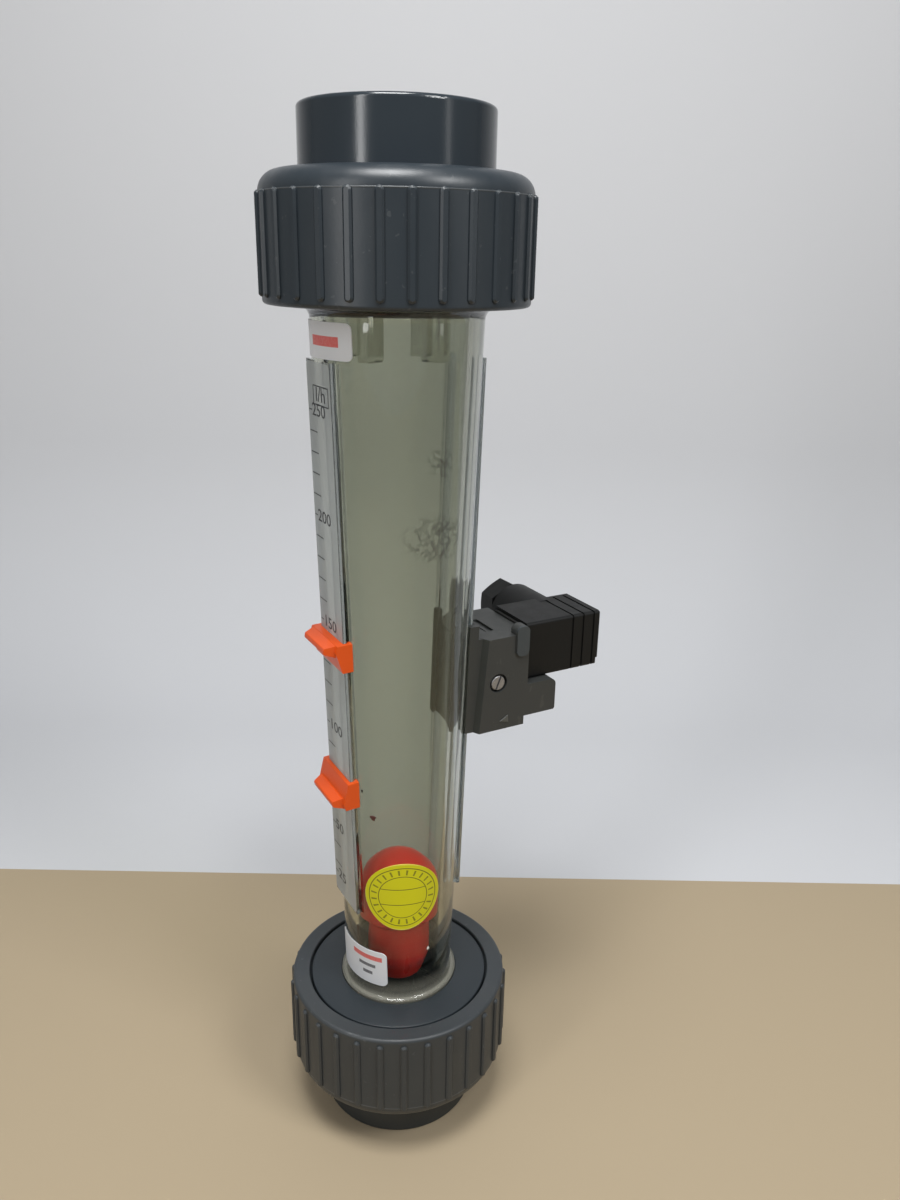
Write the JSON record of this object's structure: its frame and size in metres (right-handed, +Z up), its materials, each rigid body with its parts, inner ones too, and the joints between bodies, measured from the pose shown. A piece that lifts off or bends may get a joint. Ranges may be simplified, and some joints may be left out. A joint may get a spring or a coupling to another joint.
{
  "type": "variable-area flow meter",
  "caption": "Upright rotameter: clear conical tube with a red float, sliding limit pointers, a sliding reed contact with angled plug, and union ends for solvent-cement pipe.",
  "frame": {"origin": "on the tube axis at the mouth of the bottom union socket", "axes": "+Z up along the tube axis, +X towards the rail with the reed contact, -X towards the rail with the scale and pointers, -Y the side seen in front"},
  "size_m": [0.0855, 0.059, 0.2514],
  "materials": {
    "clear_pvc": "smoky clear plastic, gloss",
    "grey_pvc": "dark grey moulded PVC, satin",
    "dark_grey_plastic": "dark grey moulded plastic, matt",
    "black_plastic": "black moulded plastic, matt",
    "black_rubber": "matt",
    "float_red": "red moulded plastic",
    "pointer_orange": "orange moulded plastic",
    "magnet": "dark ferrite",
    "screw_steel": "plated steel",
    "pin_brass": "tinned brass",
    "reed_glass": "glass",
    "label_white": "white film",
    "label_yellow": "yellow film",
    "scale_ink": "thin dark print",
    "dirt": "dried dirt"
  },
  "bodies": {
    "tube": {"measuring_tube": "clear_pvc", "bottom_threaded_bush": "grey_pvc", "top_threaded_bush": "grey_pvc", "bottom_float_stop": "grey_pvc", "top_float_stop": "grey_pvc", "round_sticker": "label_yellow", "lower_label": "label_white", "top_label": "label_white"},
    "float": {"float_body": "float_red", "float_magnet": "magnet", "float_plug": "float_red"},
    "lower_pointer_clip": {"lower_pointer": "pointer_orange"},
    "upper_pointer_clip": {"upper_pointer": "pointer_orange"},
    "contact": {"contact_housing": "dark_grey_plastic", "reed_capsule": "reed_glass", "clamp_screw": "screw_steel", "terminal_pins": "pin_brass", "plug_gasket": "black_rubber", "plug_housing": "black_plastic", "plug_insert": "black_plastic", "plug_screw": "screw_steel", "gland_seal": "black_rubber", "gland_grommet": "black_rubber", "gland_nut": "black_plastic"},
    "bottom_end": {"bottom_union_end": "grey_pvc", "bottom_o_ring": "black_rubber"},
    "bottom_nut": {"bottom_union_nut": "grey_pvc"},
    "top_end": {"top_union_end": "grey_pvc", "top_o_ring": "black_rubber"},
    "top_nut": {"top_union_nut": "grey_pvc"}
  },
  "joints": [
    {"name": "float_rise", "type": "slide", "parent": "tube", "child": "float", "axis": [0, 0, 1], "range_m": [0, 0.1272]},
    {"name": "lower_pointer_slide", "type": "slide", "parent": "tube", "child": "lower_pointer_clip", "axis": [-0.0286, 0, 0.9996], "range_m": [-0.0312, 0.0143]},
    {"name": "upper_pointer_slide", "type": "slide", "parent": "tube", "child": "upper_pointer_clip", "axis": [-0.0286, 0, 0.9996], "range_m": [-0.0143, 0.0619]},
    {"name": "contact_slide", "type": "slide", "parent": "tube", "child": "contact", "axis": [0.0286, 0, 0.9996], "range_m": [-0.0445, 0.0629]},
    {"name": "bottom_union_travel", "type": "slide", "parent": "tube", "child": "bottom_end", "axis": [0, 0, -1], "range_m": [0, 0.01156]},
    {"name": "bottom_nut_turn", "type": "hinge", "parent": "bottom_end", "child": "bottom_nut", "pos_m": [0, 0, 0.0247], "axis": [0, 0, -1], "range_deg": [0, 1800]},
    {"name": "top_union_travel", "type": "slide", "parent": "tube", "child": "top_end", "axis": [0, 0, 1], "range_m": [0, 0.01156]},
    {"name": "top_nut_turn", "type": "hinge", "parent": "top_end", "child": "top_nut", "pos_m": [0, 0, 0.2267], "axis": [0, 0, 1], "range_deg": [0, 1800]}
  ],
  "couplings": [
    {"joint": "bottom_union_travel", "follows": "bottom_nut_turn", "m_per_rad": 0.0003675},
    {"joint": "top_union_travel", "follows": "top_nut_turn", "m_per_rad": 0.0003675}
  ]
}
